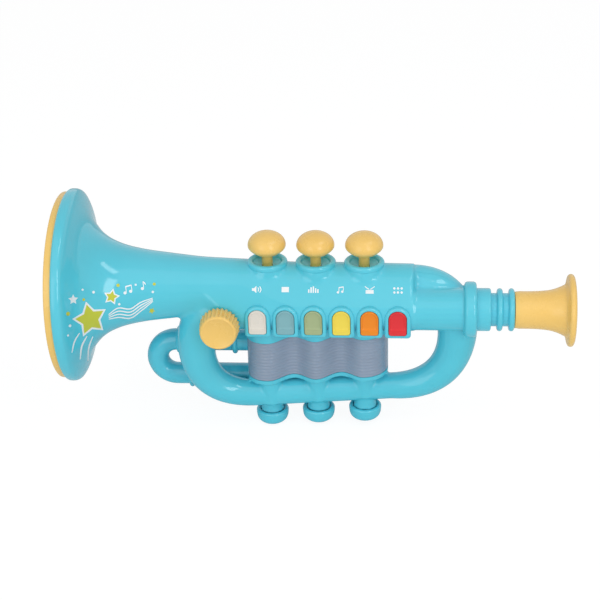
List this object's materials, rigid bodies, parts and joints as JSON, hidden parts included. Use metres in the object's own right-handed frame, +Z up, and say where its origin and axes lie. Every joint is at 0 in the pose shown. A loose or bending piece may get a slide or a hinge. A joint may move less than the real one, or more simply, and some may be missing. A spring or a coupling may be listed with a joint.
{
  "type": "toy horn",
  "caption": "Battery toy trumpet in plastic with a flared bell, press-down valve buttons, coloured keys, a rotary knob, a see-through light casing and a mouthpiece.",
  "frame": {"origin": "centre of the bounding box of the whole horn", "axes": "+X from the bell to the mouthpiece, +Z up with the valve buttons on top, -Y towards the side with the keys"},
  "size_m": [0.34, 0.1294, 0.1682],
  "materials": {
    "body_blue": "glossy light blue plastic",
    "trim_yellow": "satin warm yellow plastic",
    "casing_grey": "see-through grey-lavender plastic with fine ribs",
    "key_white": "satin off-white plastic",
    "key_grey_blue": "satin grey-blue plastic",
    "key_green": "satin sage green plastic",
    "key_yellow": "satin lemon plastic",
    "key_orange": "satin orange plastic",
    "key_red": "satin red plastic",
    "inner_white": "white plastic",
    "inner_black": "black plastic",
    "board_green": "circuit board",
    "pad_rubber": "grey silicone rubber",
    "steel": "zinc plated steel",
    "cell_wrap": "wrapped steel can",
    "wire_red": "insulated twin lead"
  },
  "bodies": {
    "housing": {"bell": "body_blue", "bell_ring": "trim_yellow", "front_shell": "body_blue", "rear_shell": "body_blue", "light_casing": "casing_grey", "slide_tube": "body_blue", "neck_tube": "body_blue", "mouthpiece": "trim_yellow", "valve_spring_1": "steel", "valve_spring_2": "steel", "valve_spring_3": "steel", "bottom_cap_1": "body_blue", "bottom_cap_2": "body_blue", "bottom_cap_3": "body_blue", "valve_switch_1": "inner_black", "valve_switch_2": "inner_black", "valve_switch_3": "inner_black", "led_1": "inner_white", "led_2": "inner_white", "led_3": "inner_white", "speaker_basket": "steel", "speaker_cone": "inner_black", "speaker_grille": "body_blue", "main_board": "board_green", "control_chip": "inner_black", "key_pad": "pad_rubber", "rotary_switch": "inner_black", "valve_board": "board_green", "light_board": "board_green", "reflector": "inner_white", "battery_tray": "inner_black", "battery_1": "cell_wrap", "battery_2": "cell_wrap", "battery_3": "cell_wrap", "battery_contact_1": "steel", "battery_contact_2": "steel", "battery_contact_3": "steel", "battery_contact_4": "steel", "housing_screw_1": "steel", "housing_screw_2": "steel", "housing_screw_3": "steel", "housing_screw_4": "steel", "housing_screw_5": "steel", "speaker_lead": "wire_red", "battery_lead": "wire_red"},
    "button_1": {"valve_button_1": "trim_yellow"},
    "button_2": {"valve_button_2": "trim_yellow"},
    "button_3": {"valve_button_3": "trim_yellow"},
    "key_body_1": {"key_1": "key_white"},
    "key_body_2": {"key_2": "key_grey_blue"},
    "key_body_3": {"key_3": "key_green"},
    "key_body_4": {"key_4": "key_yellow"},
    "key_body_5": {"key_5": "key_orange"},
    "key_body_6": {"key_6": "key_red"},
    "knob_body": {"knob": "trim_yellow"},
    "door_body": {"battery_door": "body_blue", "door_screw": "steel"}
  },
  "joints": [
    {"name": "button_1_press", "type": "slide", "parent": "housing", "child": "button_1", "axis": [0, 0, -1], "range_m": [0, 0.006], "stiffness_N_per_m": 150, "springref_m": -0.004, "deforming": ["valve_spring_1"]},
    {"name": "button_2_press", "type": "slide", "parent": "housing", "child": "button_2", "axis": [0, 0, -1], "range_m": [0, 0.006], "stiffness_N_per_m": 150, "springref_m": -0.004, "deforming": ["valve_spring_2"]},
    {"name": "button_3_press", "type": "slide", "parent": "housing", "child": "button_3", "axis": [0, 0, -1], "range_m": [0, 0.006], "stiffness_N_per_m": 150, "springref_m": -0.004, "deforming": ["valve_spring_3"]},
    {"name": "key_1_press", "type": "slide", "parent": "housing", "child": "key_body_1", "axis": [0, 1, 0], "range_m": [0, 0.0012], "stiffness_N_per_m": 400, "springref_m": -0.001},
    {"name": "key_2_press", "type": "slide", "parent": "housing", "child": "key_body_2", "axis": [0, 1, 0], "range_m": [0, 0.0012], "stiffness_N_per_m": 400, "springref_m": -0.001},
    {"name": "key_3_press", "type": "slide", "parent": "housing", "child": "key_body_3", "axis": [0, 1, 0], "range_m": [0, 0.0012], "stiffness_N_per_m": 400, "springref_m": -0.001},
    {"name": "key_4_press", "type": "slide", "parent": "housing", "child": "key_body_4", "axis": [0, 1, 0], "range_m": [0, 0.0012], "stiffness_N_per_m": 400, "springref_m": -0.001},
    {"name": "key_5_press", "type": "slide", "parent": "housing", "child": "key_body_5", "axis": [0, 1, 0], "range_m": [0, 0.0012], "stiffness_N_per_m": 400, "springref_m": -0.001},
    {"name": "key_6_press", "type": "slide", "parent": "housing", "child": "key_body_6", "axis": [0, 1, 0], "range_m": [0, 0.0012], "stiffness_N_per_m": 400, "springref_m": -0.001},
    {"name": "knob_turn", "type": "hinge", "parent": "housing", "child": "knob_body", "pos_m": [-0.0625, -0.0252, 0.00238], "axis": [0, -1, 0], "range_deg": [-135, 135]},
    {"name": "door_lift", "type": "slide", "parent": "housing", "child": "door_body", "axis": [0, 1, 0], "range_m": [0, 0.02]}
  ]
}
